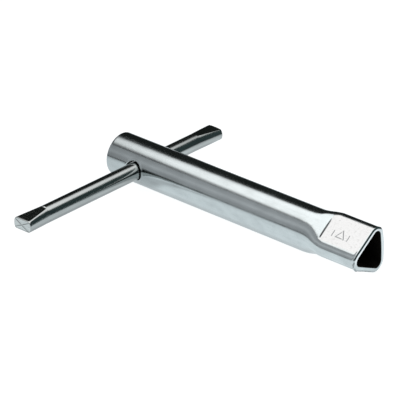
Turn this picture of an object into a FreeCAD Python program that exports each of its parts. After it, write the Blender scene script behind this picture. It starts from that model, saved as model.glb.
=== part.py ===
"""T-key with a forged triangular socket and a captive sliding tommy bar.

Two pieces of plated steel:
  socket_tube  round precision tube 15 x 1.5, cross-drilled near its rear end, its front end
               forged over a mandrel into a rounded triangular socket
  tommy_bar    6 mm round bar through the cross holes, both ends squashed flat so that they
               are wider than the holes and the bar stays captive

Row frame, millimetres: the origin is on the tube axis in the plane of the socket mouth,
+X points out of the mouth, +Y runs along the tommy bar, +Z is up.
"""
import FreeCAD, Part
import os
import math
import Sketcher

V = FreeCAD.Vector
doc = FreeCAD.newDocument("socket_t_key")

# ---------------------------------------------------------------- driving dimensions
sizes = doc.addObject("Spreadsheet::Sheet", "sizes")
sizes.Label = "sizes"
DIMS = [
    # socket tube
    ("tube_radius", 7.5),          # outside of the round tube
    ("tube_wall", 1.5),
    ("tube_length", 106.4),        # rear end to socket mouth
    ("hole_back", 12.2),           # cross hole axis from the rear end
    ("hole_radius", 3.4),
    ("hole_chamfer", 0.35),
    ("rear_chamfer", 0.3),
    ("clocking", 5.6),             # turn of the triangle about the tube axis against the bar
    ("split", 30.0),               # half angle of a corner segment on the round section
    ("flat_out", 6.18),            # axis to outer flat of the socket
    ("corner_out", 3.63),          # outer corner radius of the socket
    ("flat_in", 4.66),             # axis to inner flat
    ("corner_in", 1.90),           # inner corner radius
    ("socket_straight", 14.7),     # straight length of the socket behind the mouth
    ("ramp_start", 25.0),          # round tube ends here, from the mouth
    # four sections of the ramp between round and triangular: distance from the mouth,
    # flat distance, corner radius and offset of the bowed flat's centre
    ("ramp_a_dist", 23.0), ("ramp_a_flat", 7.388), ("ramp_a_corner", 6.957), ("ramp_a_bow", 0.588),
    ("ramp_b_dist", 21.2), ("ramp_b_flat", 7.013), ("ramp_b_corner", 5.470), ("ramp_b_bow", 3.259),
    ("ramp_c_dist", 19.4), ("ramp_c_flat", 6.540), ("ramp_c_corner", 4.120), ("ramp_c_bow", 9.990),
    ("ramp_d_dist", 17.4), ("ramp_d_flat", 6.240), ("ramp_d_corner", 3.640), ("ramp_d_bow", 32.200),
    ("mouth_chamfer", 0.25),
    # forged pad with the generic size mark on one flat
    ("pad_length", 15.7),
    ("pad_width", 9.6),
    ("pad_depth", 0.2),
    ("mark_depth", 0.12),
    ("mark_size", 3.0),
    # tommy bar
    ("bar_radius", 3.0),
    ("bar_near", 59.8),            # end of the bar on the -Y side, from the tube axis
    ("bar_far", 34.5),             # end of the bar on the +Y side
    ("bar_drop", 0.15),            # the bar rests low in its holes
    ("flat_length", 10.9),         # length of the squashed end
    ("end_half_width", 3.64),      # half width of the spread end
    ("end_half_height", 2.93),     # half height of the spread end before the flats
    ("flat_entry", 2.86),          # height of the flats where they begin
    ("flat_exit", 1.9),            # height of the flats at the end face
    ("cross_width", 0.55),         # cropping cross on each end face
    ("cross_span", 4.6),
    ("cross_depth", 0.2),
]
for row, (alias, value) in enumerate(DIMS, start=1):
    sizes.set("A%d" % row, alias)
    sizes.set("B%d" % row, "%g" % value)
    sizes.setAlias("B%d" % row, alias)
doc.recompute()


def val(alias):
    return float(getattr(sizes, alias))


def S(alias):
    return "<<sizes>>." + alias


# ---------------------------------------------------------------- helpers
def make_body(name):
    body = doc.addObject("PartDesign::Body", name)
    body.Label = name
    return body


def origin_plane(body, role):
    for feature in body.Origin.OriginFeatures:
        if feature.Role == role:
            return feature
    raise RuntimeError("no origin plane " + role)


def make_sketch(body, name, role, offset_expr=None, yaw=None, pitch=None):
    """A sketch on an origin plane, moved along its normal by an expression."""
    sketch = body.newObject("Sketcher::SketchObject", name)
    sketch.AttachmentSupport = [(origin_plane(body, role), "")]
    sketch.MapMode = "FlatFace"
    if offset_expr:
        sketch.setExpression("AttachmentOffset.Base.z", offset_expr)
    return sketch


def named(sketch, constraint, name, expression):
    index = sketch.addConstraint(constraint)
    sketch.renameConstraint(index, name)
    sketch.setExpression("Constraints." + name, expression)


def circle_sketch(body, name, role, radius, offset_expr=None, centre=(None, None)):
    sketch = make_sketch(body, name, role, offset_expr)
    sketch.addGeometry(Part.Circle(V(0, 0, 0), V(0, 0, 1), val(radius)), False)
    named(sketch, Sketcher.Constraint("Radius", 0, val(radius)), "radius", S(radius))
    cx, cy = centre
    if cx is None and cy is None:
        sketch.addConstraint(Sketcher.Constraint("Coincident", 0, 3, -1, 1))
        return sketch
    # (value, expression) pairs
    sketch.moveGeometry(0, 3, V(cx[0], cy[0], 0), 0)
    for axis, (value, expression) in (("DistanceX", cx), ("DistanceY", cy)):
        if expression is None:
            sketch.addConstraint(Sketcher.Constraint("PointOnObject", 0, 3, -1 if axis == "DistanceY" else -2))
        else:
            named(sketch, Sketcher.Constraint(axis, -1, 1, 0, 3, value), "centre" + axis[-1], expression)
    return sketch


def polar(radius, degrees):
    a = math.radians(degrees)
    return V(radius * math.cos(a), radius * math.sin(a), 0)


def round_section(body, name, radius_value, radius_expr, dist_expr):
    """A circle in six arcs, split where the ramp's corner segments begin."""
    sketch = make_sketch(body, name, "YZ_Plane", "-" + dist_expr)
    clock, half = val("clocking"), val("split")
    for k in range(3):
        corner = clock + 60 + 120 * k
        flat = clock + 120 * (k + 1)
        for mid, span, tag in ((corner, half, "c"), (flat, 60 - half, "f")):
            circle = Part.Circle(V(0, 0, 0), V(0, 0, 1), radius_value)
            arc = Part.ArcOfCircle(circle, math.radians(mid - span), math.radians(mid + span))
            geo = sketch.addGeometry(arc, False)
            sketch.addConstraint(Sketcher.Constraint("Coincident", geo, 3, -1, 1))
            if geo == 0:
                named(sketch, Sketcher.Constraint("Radius", geo, radius_value), "radius", radius_expr)
            else:
                sketch.addConstraint(Sketcher.Constraint("Equal", 0, geo))
            for end, sign in ((1, -1), (2, 1)):
                angle = mid + sign * span
                spread = "%s + %g %s %s" % (
                    S("clocking"),
                    60 + 120 * k if tag == "c" else 120 * (k + 1),
                    "+" if sign > 0 else "-",
                    S("split") if tag == "c" else "(60 - %s)" % S("split"),
                )
                point = polar(radius_value, angle)
                if abs(point.x) < abs(point.y):
                    constraint = Sketcher.Constraint("DistanceX", -1, 1, geo, end, point.x)
                    expression = "(%s) * cos(%s)" % (radius_expr, spread)
                else:
                    constraint = Sketcher.Constraint("DistanceY", -1, 1, geo, end, point.y)
                    expression = "(%s) * sin(%s)" % (radius_expr, spread)
                named(sketch, constraint, "p%s%d_%d" % (tag, k, end), expression)
    return sketch


def lobed_section(body, name, flat, corner, bow, dist_expr):
    """Three bowed flats joined tangentially by three corner arcs.

    flat, corner and bow are (value, expression) pairs.
    """
    sketch = make_sketch(body, name, "YZ_Plane", "-" + dist_expr)
    clock = val("clocking")
    rho, r, c = flat[0], corner[0], bow[0]
    # distance of a corner centre from the axis, from tangency of the two arcs
    m = (-c + math.sqrt(c * c - 4 * (c * c - (rho + c - r) ** 2))) / 2
    theta = math.degrees(math.atan2(c * math.sin(math.radians(60)), m + c * 0.5))
    for k in range(3):
        u, n = clock + 60 + 120 * k, clock + 120 * (k + 1)
        circle = Part.Circle(polar(m, u), V(0, 0, 1), r)
        sketch.addGeometry(Part.ArcOfCircle(circle, math.radians(u - theta), math.radians(u + theta)), False)
        circle = Part.Circle(polar(c, n + 180), V(0, 0, 1), rho + c)
        span = 60 - theta
        sketch.addGeometry(Part.ArcOfCircle(circle, math.radians(n - span), math.radians(n + span)), False)
    for g in range(6):
        sketch.addConstraint(Sketcher.Constraint("Tangent", g, 2, (g + 1) % 6, 1))
    for k in range(3):
        n = "(%s + %g)" % (S("clocking"), 120 * (k + 1))
        centre = polar(c, clock + 120 * (k + 1) + 180)
        named(sketch, Sketcher.Constraint("Radius", 2 * k, r), "corner%d" % k, corner[1])
        named(sketch, Sketcher.Constraint("Radius", 2 * k + 1, rho + c), "flat%d" % k,
              "(%s) + (%s)" % (flat[1], bow[1]))
        named(sketch, Sketcher.Constraint("DistanceX", -1, 1, 2 * k + 1, 3, centre.x), "cx%d" % k,
              "-(%s) * cos(%s)" % (bow[1], n))
        named(sketch, Sketcher.Constraint("DistanceY", -1, 1, 2 * k + 1, 3, centre.y), "cy%d" % k,
              "-(%s) * sin(%s)" % (bow[1], n))
    return sketch


def triangle_section(body, name, flat, corner, dist_expr):
    """Rounded equilateral triangle: three lines and three tangent corner arcs."""
    sketch = make_sketch(body, name, "YZ_Plane", "-" + dist_expr)
    clock = val("clocking")
    rho, r = flat[0], corner[0]
    m = 2 * (rho - r)
    for k in range(3):
        u, n = clock + 60 + 120 * k, clock + 120 * (k + 1)
        circle = Part.Circle(polar(m, u), V(0, 0, 1), r)
        sketch.addGeometry(Part.ArcOfCircle(circle, math.radians(u - 60), math.radians(u + 60)), False)
        start = polar(m, u) + polar(r, u + 60)
        stop = polar(m, u + 120) + polar(r, u + 60)
        sketch.addGeometry(Part.LineSegment(start, stop), False)
    for g in range(6):
        sketch.addConstraint(Sketcher.Constraint("Tangent", g, 2, (g + 1) % 6, 1))
    for k in range(3):
        u = "(%s + %g)" % (S("clocking"), 60 + 120 * k)
        centre = polar(m, clock + 60 + 120 * k)
        named(sketch, Sketcher.Constraint("Radius", 2 * k, r), "corner%d" % k, corner[1])
        named(sketch, Sketcher.Constraint("DistanceX", -1, 1, 2 * k, 3, centre.x), "cx%d" % k,
              "2 * ((%s) - (%s)) * cos(%s)" % (flat[1], corner[1], u))
        named(sketch, Sketcher.Constraint("DistanceY", -1, 1, 2 * k, 3, centre.y), "cy%d" % k,
              "2 * ((%s) - (%s)) * sin(%s)" % (flat[1], corner[1], u))
    return sketch


def polygon_sketch(sketch, points):
    """A closed polygon. points are ((x, y), (x expression, y expression))."""
    count = len(points)
    for i in range(count):
        (x0, y0), (x1, y1) = points[i][0], points[(i + 1) % count][0]
        sketch.addGeometry(Part.LineSegment(V(x0, y0, 0), V(x1, y1, 0)), False)
    first = sketch.GeometryCount - count
    for i in range(count):
        sketch.addConstraint(Sketcher.Constraint("Coincident", first + i, 2, first + (i + 1) % count, 1))
    for i in range(count):
        (x, y), (ex, ey) = points[i]
        named(sketch, Sketcher.Constraint("DistanceX", -1, 1, first + i, 1, x), "x%d_%d" % (first, i), ex)
        named(sketch, Sketcher.Constraint("DistanceY", -1, 1, first + i, 1, y), "y%d_%d" % (first, i), ey)
    return sketch


def feature(body, kind, name, profile=None):
    obj = body.newObject(kind, name)
    if profile is not None:
        obj.Profile = profile
    return obj


def settle(body, note, grows):
    """Recompute, and check that the last feature added or removed material."""
    doc.recompute()
    tip = body.Tip
    volume = tip.Shape.Volume
    change = volume - settle.last.get(body.Name, 0.0)
    if (grows and change <= 1e-6) or (not grows and change >= -1e-6):
        raise RuntimeError("%s: %s changed the volume by %g" % (body.Name, note, change))
    print("%-12s %-26s volume %10.3f mm3 (%+.3f)" % (body.Name, note, volume, change))
    settle.last[body.Name] = volume


settle.last = {}


def edges_where(shape, test):
    return ["Edge%d" % (i + 1) for i, edge in enumerate(shape.Edges) if test(edge)]


def chamfer(body, name, size, test, expect=None):
    base = body.Tip
    names = edges_where(base.Shape, test)
    if not names or (expect and len(names) != expect):
        raise RuntimeError("%s: %d edges found" % (name, len(names)))
    obj = body.newObject("PartDesign::Chamfer", name)
    obj.Base = (base, names)
    obj.Size = val(size)
    obj.setExpression("Size", S(size))
    settle(body, name, False)
    return obj


RAMPS = ("ramp_a", "ramp_b", "ramp_c", "ramp_d")


def skin(body, prefix, radius, flat, corner, wall):
    """Sketches of one skin of the tube, outer (wall 0) or inner (wall = tube_wall)."""
    minus = "" if wall == 0 else " - " + S("tube_wall")
    start = round_section(body, prefix + "_round", radius[0], radius[1], S("ramp_start"))
    middles = []
    for ramp in RAMPS:
        middles.append(lobed_section(
            body, prefix + "_" + ramp,
            (val(ramp + "_flat") - wall, S(ramp + "_flat") + minus),
            (val(ramp + "_corner") - wall, S(ramp + "_corner") + minus),
            (val(ramp + "_bow"), S(ramp + "_bow")),
            S(ramp + "_dist")))
    stop = triangle_section(body, prefix + "_socket", flat, corner, S("socket_straight"))
    return start, middles, stop


# ---------------------------------------------------------------- socket_tube
tube = make_body("socket_tube")
outer_round, outer_mid, outer_tri = skin(
    tube, "outer", (val("tube_radius"), S("tube_radius")),
    (val("flat_out"), S("flat_out")), (val("corner_out"), S("corner_out")), 0)
doc.recompute()

# round shank, from the start of the ramp back to the rear end
shank = feature(tube, "PartDesign::Pad", "shank", outer_round)
shank.setExpression("Length", S("tube_length") + " - " + S("ramp_start"))
shank.Reversed = True
settle(tube, "shank", True)

# ramp from round to triangular
ramp = feature(tube, "PartDesign::AdditiveLoft", "ramp", outer_round)
ramp.Sections = outer_mid + [outer_tri]
ramp.Ruled = False
settle(tube, "ramp", True)

# straight triangular socket
nose = feature(tube, "PartDesign::Pad", "nose", outer_tri)
nose.setExpression("Length", S("socket_straight"))
settle(tube, "nose", True)

# bore of the shank, ramp and socket
inner_round, inner_mid, inner_tri = skin(
    tube, "inner", (val("tube_radius") - val("tube_wall"), S("tube_radius") + " - " + S("tube_wall")),
    (val("flat_in"), S("flat_in")), (val("corner_in"), S("corner_in")), val("tube_wall"))
doc.recompute()
bore = feature(tube, "PartDesign::Pocket", "bore", inner_round)
bore.setExpression("Length", S("tube_length") + " - " + S("ramp_start") + " + 1")
bore.Reversed = False
settle(tube, "bore", False)
ramp_bore = feature(tube, "PartDesign::SubtractiveLoft", "ramp_bore", inner_round)
ramp_bore.Sections = inner_mid + [inner_tri]
ramp_bore.Ruled = False
settle(tube, "ramp_bore", False)
socket_bore = feature(tube, "PartDesign::Pocket", "socket_bore", inner_tri)
socket_bore.setExpression("Length", S("socket_straight") + " + 1")
socket_bore.Reversed = True
settle(tube, "socket_bore", False)

# cross holes for the tommy bar, through both walls
# (the XZ plane's sketch has its x along +X and its y along +Z)
hole_x = -(val("tube_length") - val("hole_back"))
cross = circle_sketch(
    tube, "cross_hole_section", "XZ_Plane", "hole_radius",
    centre=((hole_x, "-(%s - %s)" % (S("tube_length"), S("hole_back"))), (0.0, None)))
doc.recompute()
cross_hole = feature(tube, "PartDesign::Pocket", "cross_hole", cross)
cross_hole.setExpression("Length", "4 * " + S("tube_radius"))
cross_hole.Midplane = True
settle(tube, "cross_hole", False)

# pressed pad on one flat, with a crisp step at its rear end
# the sketch lies in a plane parallel to the axis, its y axis along the flat's width
pad_angle = val("clocking") + 120


def on_flat(name, level_expr):
    """A sketch parallel to the marked flat. Its x runs along +X, its y across the flat."""
    sketch = tube.newObject("Sketcher::SketchObject", name)
    sketch.AttachmentSupport = [(origin_plane(tube, "XY_Plane"), "")]
    sketch.MapMode = "FlatFace"
    turn = FreeCAD.Rotation(V(1, 0, 0), pad_angle - 90)
    sketch.AttachmentOffset = FreeCAD.Placement(turn.multVec(V(0, 0, val("flat_out"))), turn)
    sketch.setExpression("AttachmentOffset.Rotation.Angle", "%s + 30" % S("clocking"))
    sketch.setExpression("AttachmentOffset.Base.y", "-(%s) * sin(%s + 30)" % (level_expr, S("clocking")))
    sketch.setExpression("AttachmentOffset.Base.z", "(%s) * cos(%s + 30)" % (level_expr, S("clocking")))
    return sketch


pad_section = on_flat("pad_section", S("flat_out") + " + 2")
half = val("pad_width") / 2
polygon_sketch(pad_section, [
    ((-val("pad_length"), -half), ("-" + S("pad_length"), "-%s / 2" % S("pad_width"))),
    ((1.0, -half), ("1", "-%s / 2" % S("pad_width"))),
    ((1.0, half), ("1", "%s / 2" % S("pad_width"))),
    ((-val("pad_length"), half), ("-" + S("pad_length"), "%s / 2" % S("pad_width"))),
])
doc.recompute()
pad_cut = feature(tube, "PartDesign::Pocket", "pad_cut", pad_section)
pad_cut.setExpression("Length", "2 + " + S("pad_depth"))
settle(tube, "pad_cut", False)

# generic mark pressed into the pad: an outlined triangle between two bars
mark_section = on_flat("mark_section", "%s - %s" % (S("flat_out"), S("pad_depth")))
size = val("mark_size")


def mark_points(cx, scale, sign=1):
    pts = []
    for a in (90, 210, 330):
        x = cx + scale * math.cos(math.radians(a))
        y = sign * scale * math.sin(math.radians(a))
        pts.append(((x, y), ("%g + (%g) * %s" % (cx, (x - cx) / size, S("mark_size")),
                             "(%g) * %s" % (y / size, S("mark_size")))))
    return pts


polygon_sketch(mark_section, mark_points(-8.2, size * 0.62))
polygon_sketch(mark_section, mark_points(-8.2, size * 0.34))
for cx in (-11.6, -4.8):
    polygon_sketch(mark_section, [
        ((cx + dx, dy), ("%g" % (cx + dx), "(%g) * %s" % (dy / size, S("mark_size"))))
        for dx, dy in ((-0.2, -size * 0.4), (0.2, -size * 0.4), (0.2, size * 0.4), (-0.2, size * 0.4))])
doc.recompute()
mark_cut = feature(tube, "PartDesign::Pocket", "mark_cut", mark_section)
mark_cut.setExpression("Length", S("mark_depth"))
settle(tube, "mark_cut", False)

# broken edges: rear rim outside and inside, cross hole rims, outer edge of the mouth
rear = make_sketch(tube, "rear_edges_section", "XY_Plane")
rear_expr = "-" + S("tube_length")
for wall_expr, level, sign in ((S("tube_radius"), val("tube_radius"), 1),
                               ("(%s - %s)" % (S("tube_radius"), S("tube_wall")),
                                val("tube_radius") - val("tube_wall"), -1)):
    c = val("rear_chamfer")
    way = "-" if sign > 0 else "+"
    polygon_sketch(rear, [
        ((-val("tube_length") - 0.2, level + sign * 0.2), (rear_expr + " - 0.2", "%s %s 0.2" % (wall_expr, "+" if sign > 0 else "-"))),
        ((-val("tube_length") - 0.2, level - sign * (c + 0.2)),
         (rear_expr + " - 0.2", "%s %s (%s + 0.2)" % (wall_expr, way, S("rear_chamfer")))),
        ((-val("tube_length") + c + 0.2, level + sign * 0.2),
         (rear_expr + " + %s + 0.2" % S("rear_chamfer"), "%s %s 0.2" % (wall_expr, "+" if sign > 0 else "-"))),
    ])
doc.recompute()
rear_edges = feature(tube, "PartDesign::Groove", "rear_edges", rear)
rear_edges.ReferenceAxis = (rear, ["H_Axis"])
rear_edges.Angle = 360
settle(tube, "rear_edges", False)


def hole_rim(edge):
    # outer rims of the cross holes: closed curves round the hole on the outside of the tube
    box = edge.BoundBox
    outside = box.YMin > val("tube_radius") * 0.8 or box.YMax < -val("tube_radius") * 0.8
    return (outside and abs((box.XMin + box.XMax) / 2 - hole_x) < 0.5
            and box.XLength < 2 * val("hole_radius") + 0.1 and box.XLength > 0.1
            and box.XMin > hole_x - val("hole_radius") - 0.01 and box.XMax < hole_x + val("hole_radius") + 0.01)


chamfer(tube, "hole_edges", "hole_chamfer", hole_rim)


def mouth_outer(edge):
    box = edge.BoundBox
    if not (abs(box.XMin) < 1e-4 and abs(box.XMax) < 1e-4):
        return False
    middle = edge.valueAt((edge.FirstParameter + edge.LastParameter) / 2)
    limit = (val("flat_in") + val("flat_out")) / 2
    reach = math.hypot(middle.y, middle.z)
    # corner arcs: compare with the corners' reach; flats: with the flats' distance
    nearest = min(abs((math.degrees(math.atan2(middle.z, middle.y)) - val("clocking") - 60 - 120 * k + 180) % 360 - 180)
                  for k in range(3))
    if nearest < 20:
        limit = (2 * val("flat_in") - val("corner_in") + 2 * val("flat_out") - val("corner_out")) / 2
    return reach > limit


chamfer(tube, "mouth_edges", "mouth_chamfer", mouth_outer)

# ---------------------------------------------------------------- tommy_bar
# modelled along its own body's Y axis, then placed at the cross holes
bar = make_body("tommy_bar")

# round bar between the two squashed ends: section on the XZ plane, whose normal is -Y
near_start = "(%s - %s)" % (S("bar_near"), S("flat_length"))
far_start = "(%s - %s)" % (S("bar_far"), S("flat_length"))
near_round = circle_sketch(bar, "near_round", "XZ_Plane", "bar_radius", near_start)
doc.recompute()
rod = feature(bar, "PartDesign::Pad", "rod", near_round)
rod.setExpression("Length", near_start + " + " + far_start)
rod.Reversed = True
settle(bar, "rod", True)


def end_section(name, offset_expr):
    sketch = make_sketch(bar, name, "XZ_Plane", offset_expr)
    a, b = val("end_half_width"), val("end_half_height")
    sketch.addGeometry(Part.Ellipse(V(a, 0, 0), V(0, b, 0), V(0, 0, 0)), False)
    sketch.exposeInternalGeometry(0)
    # 1 major diameter, 2 minor diameter, 3 and 4 foci
    sketch.addConstraint(Sketcher.Constraint("Coincident", 0, 3, -1, 1))
    sketch.addConstraint(Sketcher.Constraint("Horizontal", 1))
    named(sketch, Sketcher.Constraint("Distance", 1, 2 * a), "width", "2 * " + S("end_half_width"))
    named(sketch, Sketcher.Constraint("Distance", 2, 2 * b), "height", "2 * " + S("end_half_height"))
    return sketch


near_end = end_section("near_end", S("bar_near"))
far_round = circle_sketch(bar, "far_round", "XZ_Plane", "bar_radius", "-" + far_start)
far_end = end_section("far_end", "-" + S("bar_far"))
doc.recompute()
near_flare = feature(bar, "PartDesign::AdditiveLoft", "near_flare", near_round)
near_flare.Sections = [near_end]
settle(bar, "near_flare", True)
far_flare = feature(bar, "PartDesign::AdditiveLoft", "far_flare", far_round)
far_flare.Sections = [far_end]
settle(bar, "far_flare", True)

# wedge flats above and below each end, cut in side view on the YZ plane
flats = make_sketch(bar, "flats", "YZ_Plane")
for sign, end, start in ((-1, "bar_near", near_start), (1, "bar_far", far_start)):
    for up in (1, -1):
        y_end = sign * (val(end) + 1.0)
        y_start = sign * (val(end) - val("flat_length"))
        slope = (val("flat_entry") - val("flat_exit")) / val("flat_length")
        z_end = val("flat_exit") - slope
        s, w = ("-" if sign < 0 else ""), ("" if up > 0 else "-")
        exit_expr = "%s(%s - (%s - %s) / %s)" % (w, S("flat_exit"), S("flat_entry"), S("flat_exit"), S("flat_length"))
        polygon_sketch(flats, [
            ((y_start, up * val("flat_entry")), (s + start, w + S("flat_entry"))),
            ((y_end, up * z_end), ("%s(%s + 1)" % (s, S(end)), exit_expr)),
            ((y_end, up * 4.5), ("%s(%s + 1)" % (s, S(end)), w + "4.5")),
            ((y_start, up * 4.5), (s + start, w + "4.5")),
        ])
doc.recompute()
flat_cut = feature(bar, "PartDesign::Pocket", "flat_cut", flats)
flat_cut.Length = 20
flat_cut.Midplane = True
settle(bar, "flat_cut", False)


# shallow cropping cross on each end face
def cross_sketch(name, offset_expr):
    sketch = make_sketch(bar, name, "XZ_Plane", offset_expr)
    w, e = val("cross_width") / 2, val("cross_span") / 2
    outline = [(w, w), (w, e), (-w, e), (-w, w), (-e, w), (-e, -w), (-w, -w), (-w, -e), (w, -e), (w, -w), (e, -w), (e, w)]
    points = []
    for x, y in outline:
        ex = "%s * %s" % ("-0.5" if x < 0 else "0.5", S("cross_width") if abs(x) == w else S("cross_span"))
        ey = "%s * %s" % ("-0.5" if y < 0 else "0.5", S("cross_width") if abs(y) == w else S("cross_span"))
        # turned by 45 degrees and pressed flat, so that the arms run to the corners of the end face
        px, py = (x - y) * 0.95, (x + y) * 0.55
        points.append(((px, py), ("(%s - %s) * 0.95" % (ex, ey), "(%s + %s) * 0.55" % (ex, ey))))
    return polygon_sketch(sketch, points)


near_cross = cross_sketch("near_cross", S("bar_near"))
doc.recompute()
near_mark = feature(bar, "PartDesign::Pocket", "near_mark", near_cross)
near_mark.setExpression("Length", S("cross_depth"))
settle(bar, "near_mark", False)
far_cross = cross_sketch("far_cross", "-" + S("bar_far"))
doc.recompute()
far_mark = feature(bar, "PartDesign::Pocket", "far_mark", far_cross)
far_mark.setExpression("Length", S("cross_depth"))
far_mark.Reversed = True
settle(bar, "far_mark", False)

bar.setExpression("Placement.Base.x", "-(%s - %s)" % (S("tube_length"), S("hole_back")))
bar.setExpression("Placement.Base.z", "-" + S("bar_drop"))
doc.recompute()

# ---------------------------------------------------------------- checks and export
failed = [o.Label for o in doc.Objects if "Invalid" in o.State or "Error" in o.State]
if failed:
    raise RuntimeError("failed objects: " + ", ".join(failed))
os.makedirs("parts", exist_ok=True)
for node in (tube, bar):
    shape = node.Shape
    if shape.isNull() or not shape.isValid() or len(shape.Solids) != 1:
        raise RuntimeError(node.Label + ": shape is null, invalid or not one solid")
    box = shape.BoundBox
    print("%-12s X %.2f..%.2f  Y %.2f..%.2f  Z %.2f..%.2f  volume %.1f mm3" % (
        node.Label, box.XMin, box.XMax, box.YMin, box.YMax, box.ZMin, box.ZMax, shape.Volume))
for node in (tube, bar):
    node.Shape.exportStep("parts/%s.step" % node.Label)
overlap = tube.Shape.common(bar.Shape).Volume
print("overlap of tube and bar %.6f mm3, closest distance %.3f mm" % (overlap, tube.Shape.distToShape(bar.Shape)[0]))
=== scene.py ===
import math

import bpy
import numpy as np
from mathutils import Matrix, Vector


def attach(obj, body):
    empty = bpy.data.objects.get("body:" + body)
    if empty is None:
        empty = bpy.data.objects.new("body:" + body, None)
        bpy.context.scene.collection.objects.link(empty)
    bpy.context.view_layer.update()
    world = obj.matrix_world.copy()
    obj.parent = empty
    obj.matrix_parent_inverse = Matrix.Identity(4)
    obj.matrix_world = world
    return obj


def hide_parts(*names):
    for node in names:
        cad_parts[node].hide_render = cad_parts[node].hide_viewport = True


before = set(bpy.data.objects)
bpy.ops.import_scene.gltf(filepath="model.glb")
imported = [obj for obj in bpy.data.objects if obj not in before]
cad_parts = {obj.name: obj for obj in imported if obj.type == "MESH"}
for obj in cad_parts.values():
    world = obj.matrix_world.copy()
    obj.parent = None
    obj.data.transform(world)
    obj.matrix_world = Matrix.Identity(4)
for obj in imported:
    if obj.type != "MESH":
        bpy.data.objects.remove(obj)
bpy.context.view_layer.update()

MM = 0.001
RAD = math.radians

# ------------------------------------------------------------------ sizes, millimetres
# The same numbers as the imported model: the row frame has its origin at the mouth's centre.
R_OUT, WALL = 7.5, 1.5
R_IN = R_OUT - WALL
LENGTH = 106.4
HOLE_X = -(LENGTH - 12.2)
HOLE_R = 3.4
CLOCK = 5.6
FLAT_OUT, CORNER_OUT = 6.18, 3.63
FLAT_IN, CORNER_IN = 4.66, 1.90
BAR_R = 3.0
BAR_NEAR, BAR_FAR = 59.8, 34.5
BAR_DROP = 0.15
FLAT_LEN = 10.9
COLS = 240                      # columns round the tube, 1.5 degrees each
HALF = 25                       # columns from a hole's centre to its patch's edge


# ------------------------------------------------------------------ camera
def camera():
    """At the photograph's viewing angle: azimuth 40.7, elevation 26.9, a long lens."""
    az, el, roll = RAD(40.7254), RAD(26.8889), RAD(0.8008)
    dist, focal, shift_x, shift_y = 113.9732, 2636.8126, -2.1251, 0.1617
    back = Vector((math.sin(az) * math.cos(el), -math.cos(az) * math.cos(el), math.sin(el)))
    right = Vector((math.cos(az), math.sin(az), 0.0))
    up = back.cross(right)
    x_axis = math.cos(roll) * right + math.sin(roll) * up
    y_axis = -math.sin(roll) * right + math.cos(roll) * up
    target = Vector((7.5, 0, 0)) + right * shift_x + up * shift_y
    place = (target + back * dist - Vector((LENGTH / R_OUT, 0, 0))) * (R_OUT * MM)
    data = bpy.data.cameras.new("camera")
    data.sensor_width = 36.0
    data.lens = focal * 36.0 / 400.0
    data.clip_start, data.clip_end = 0.01, 50.0
    cam = bpy.data.objects.new("camera", data)
    bpy.context.scene.collection.objects.link(cam)
    rot = Matrix((x_axis, y_axis, back)).transposed().to_4x4()
    cam.matrix_world = Matrix.Translation(place) @ rot
    bpy.context.scene.camera = cam
    return cam


# ------------------------------------------------------------------ mesh helper
class Net:
    """Collects vertices and quads, with named point attributes, and makes one mesh."""

    def __init__(self):
        self.co, self.faces, self.marks = [], [], {}

    def points(self, array, **marks):
        """Adds an (..., 3) array of points, returns their indices in the same shape."""
        array = np.asarray(array, float)
        start = len(self.co)
        flat = array.reshape(-1, 3)
        self.co.extend(map(tuple, flat))
        for name, values in marks.items():
            values = np.broadcast_to(np.asarray(values, float), array.shape[:-1]).reshape(-1)
            self.marks.setdefault(name, {}).update(
                {start + i: float(v) for i, v in enumerate(values) if v})
        return np.arange(start, start + len(flat)).reshape(array.shape[:-1])

    def strip(self, a, b, closed=False, flip=False):
        """Quads between two equally long rows of indices."""
        a, b = list(a), list(b)
        if closed:
            a.append(a[0])
            b.append(b[0])
        for i in range(len(a) - 1):
            quad = (a[i], a[i + 1], b[i + 1], b[i])
            self.faces.append(quad[::-1] if flip else quad)

    def grid(self, idx, closed=False, flip=False):
        for i in range(len(idx) - 1):
            self.strip(idx[i], idx[i + 1], closed, flip)

    def object(self, name):
        mesh = bpy.data.meshes.new(name)
        co = np.array(self.co, float) * MM
        faces = []
        for f in self.faces:
            g = [f[0]]
            for v in f[1:]:
                if v != g[-1]:
                    g.append(v)
            if g[0] == g[-1]:
                g.pop()
            if len(g) > 2:
                faces.append(g)
        # the points inside the cross-holes' patches belong to no face: leave them out
        used = sorted({v for f in faces for v in f})
        place = {v: n for n, v in enumerate(used)}
        mesh.from_pydata([tuple(co[v]) for v in used], [], [[place[v] for v in f] for f in faces])
        for mark, values in self.marks.items():
            layer = mesh.attributes.new(mark, "FLOAT", "POINT")
            data = np.zeros(len(used), np.float32)
            for i, v in values.items():
                if i in place:
                    data[place[i]] = v
            layer.data.foreach_set("value", data)
        mesh.validate()
        mesh.shade_smooth()
        mesh.update()
        obj = bpy.data.objects.new(name, mesh)
        bpy.context.scene.collection.objects.link(obj)
        return obj


def smooth(a, b, x):
    t = np.clip((np.asarray(x, float) - a) / (b - a), 0.0, 1.0)
    return t * t * (3 - 2 * t)


def hermite(xs, ys, x):
    """Monotone cubic through the points, flat at both ends."""
    xs, ys = np.asarray(xs, float), np.asarray(ys, float)
    h, d = np.diff(xs), np.diff(ys) / np.diff(xs)
    m = np.zeros(len(xs))
    for i in range(1, len(xs) - 1):
        if d[i - 1] * d[i] > 0:
            w1, w2 = 2 * h[i] + h[i - 1], h[i] + 2 * h[i - 1]
            m[i] = (w1 + w2) / (w1 / d[i - 1] + w2 / d[i])
    x = np.clip(x, xs[0], xs[-1])
    i = min(max(int(np.searchsorted(xs, x) - 1), 0), len(xs) - 2)
    t = (x - xs[i]) / h[i]
    return ((1 + 2 * t) * (1 - t) ** 2 * ys[i] + t * (1 - t) ** 2 * h[i] * m[i]
            + t * t * (3 - 2 * t) * ys[i + 1] + t * t * (t - 1) * h[i] * m[i + 1])


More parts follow.
